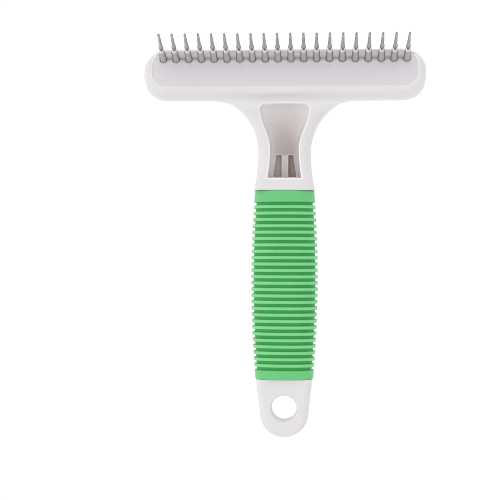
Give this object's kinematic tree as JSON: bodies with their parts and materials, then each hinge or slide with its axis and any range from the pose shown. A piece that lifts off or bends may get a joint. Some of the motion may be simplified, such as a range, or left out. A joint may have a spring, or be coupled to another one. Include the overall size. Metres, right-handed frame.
{
  "type": "deshedding rake",
  "caption": "T-shaped deshedding rake with a row of turning steel pins, a white body, a ribbed green soft grip and a hang hole.",
  "frame": {"origin": "under the middle of the tool as it lies on its back, at the centre of its bounding box's bottom face", "axes": "+X across the head to the right, +Y up the handle to the head and the pin tips, +Z the side the pins stand on"},
  "size_m": [0.11, 0.1556, 0.0316],
  "materials": {
    "white_plastic": "satin moulded ABS with a very fine texture",
    "plate_plastic": "satin moulded plastic, a little greyer than the body",
    "green_rubber": "matte soft-touch thermoplastic rubber",
    "turned_steel": "turned, bright, with fine tool marks round the axis"
  },
  "bodies": {
    "tool": {"handle_body": "white_plastic", "pin_plate": "plate_plastic", "grip_sleeve": "green_rubber"},
    "pin_01_body": {"pin_01": "turned_steel"},
    "pin_02_body": {"pin_02": "turned_steel"},
    "pin_03_body": {"pin_03": "turned_steel"},
    "pin_04_body": {"pin_04": "turned_steel"},
    "pin_05_body": {"pin_05": "turned_steel"},
    "pin_06_body": {"pin_06": "turned_steel"},
    "pin_07_body": {"pin_07": "turned_steel"},
    "pin_08_body": {"pin_08": "turned_steel"},
    "pin_09_body": {"pin_09": "turned_steel"},
    "pin_10_body": {"pin_10": "turned_steel"},
    "pin_11_body": {"pin_11": "turned_steel"},
    "pin_12_body": {"pin_12": "turned_steel"},
    "pin_13_body": {"pin_13": "turned_steel"},
    "pin_14_body": {"pin_14": "turned_steel"},
    "pin_15_body": {"pin_15": "turned_steel"},
    "pin_16_body": {"pin_16": "turned_steel"},
    "pin_17_body": {"pin_17": "turned_steel"},
    "pin_18_body": {"pin_18": "turned_steel"},
    "pin_19_body": {"pin_19": "turned_steel"},
    "pin_20_body": {"pin_20": "turned_steel"}
  },
  "joints": [
    {"name": "pin_01_spin", "type": "hinge", "parent": "tool", "child": "pin_01_body", "pos_m": [-0.0475, 0.07052, 0.0155], "axis": [0, 0.4115, 0.9114], "continuous": true},
    {"name": "pin_02_spin", "type": "hinge", "parent": "tool", "child": "pin_02_body", "pos_m": [-0.0425, 0.07052, 0.0155], "axis": [0, 0.4115, 0.9114], "continuous": true},
    {"name": "pin_03_spin", "type": "hinge", "parent": "tool", "child": "pin_03_body", "pos_m": [-0.0375, 0.07052, 0.0155], "axis": [0, 0.4115, 0.9114], "continuous": true},
    {"name": "pin_04_spin", "type": "hinge", "parent": "tool", "child": "pin_04_body", "pos_m": [-0.0325, 0.07052, 0.0155], "axis": [0, 0.4115, 0.9114], "continuous": true},
    {"name": "pin_05_spin", "type": "hinge", "parent": "tool", "child": "pin_05_body", "pos_m": [-0.0275, 0.07052, 0.0155], "axis": [0, 0.4115, 0.9114], "continuous": true},
    {"name": "pin_06_spin", "type": "hinge", "parent": "tool", "child": "pin_06_body", "pos_m": [-0.0225, 0.07052, 0.0155], "axis": [0, 0.4115, 0.9114], "continuous": true},
    {"name": "pin_07_spin", "type": "hinge", "parent": "tool", "child": "pin_07_body", "pos_m": [-0.0175, 0.07052, 0.0155], "axis": [0, 0.4115, 0.9114], "continuous": true},
    {"name": "pin_08_spin", "type": "hinge", "parent": "tool", "child": "pin_08_body", "pos_m": [-0.0125, 0.07052, 0.0155], "axis": [0, 0.4115, 0.9114], "continuous": true},
    {"name": "pin_09_spin", "type": "hinge", "parent": "tool", "child": "pin_09_body", "pos_m": [-0.0075, 0.07052, 0.0155], "axis": [0, 0.4115, 0.9114], "continuous": true},
    {"name": "pin_10_spin", "type": "hinge", "parent": "tool", "child": "pin_10_body", "pos_m": [-0.0025, 0.07052, 0.0155], "axis": [0, 0.4115, 0.9114], "continuous": true},
    {"name": "pin_11_spin", "type": "hinge", "parent": "tool", "child": "pin_11_body", "pos_m": [0.0025, 0.07052, 0.0155], "axis": [0, 0.4115, 0.9114], "continuous": true},
    {"name": "pin_12_spin", "type": "hinge", "parent": "tool", "child": "pin_12_body", "pos_m": [0.0075, 0.07052, 0.0155], "axis": [0, 0.4115, 0.9114], "continuous": true},
    {"name": "pin_13_spin", "type": "hinge", "parent": "tool", "child": "pin_13_body", "pos_m": [0.0125, 0.07052, 0.0155], "axis": [0, 0.4115, 0.9114], "continuous": true},
    {"name": "pin_14_spin", "type": "hinge", "parent": "tool", "child": "pin_14_body", "pos_m": [0.0175, 0.07052, 0.0155], "axis": [0, 0.4115, 0.9114], "continuous": true},
    {"name": "pin_15_spin", "type": "hinge", "parent": "tool", "child": "pin_15_body", "pos_m": [0.0225, 0.07052, 0.0155], "axis": [0, 0.4115, 0.9114], "continuous": true},
    {"name": "pin_16_spin", "type": "hinge", "parent": "tool", "child": "pin_16_body", "pos_m": [0.0275, 0.07052, 0.0155], "axis": [0, 0.4115, 0.9114], "continuous": true},
    {"name": "pin_17_spin", "type": "hinge", "parent": "tool", "child": "pin_17_body", "pos_m": [0.0325, 0.07052, 0.0155], "axis": [0, 0.4115, 0.9114], "continuous": true},
    {"name": "pin_18_spin", "type": "hinge", "parent": "tool", "child": "pin_18_body", "pos_m": [0.0375, 0.07052, 0.0155], "axis": [0, 0.4115, 0.9114], "continuous": true},
    {"name": "pin_19_spin", "type": "hinge", "parent": "tool", "child": "pin_19_body", "pos_m": [0.0425, 0.07052, 0.0155], "axis": [0, 0.4115, 0.9114], "continuous": true},
    {"name": "pin_20_spin", "type": "hinge", "parent": "tool", "child": "pin_20_body", "pos_m": [0.0475, 0.07052, 0.0155], "axis": [0, 0.4115, 0.9114], "continuous": true}
  ]
}
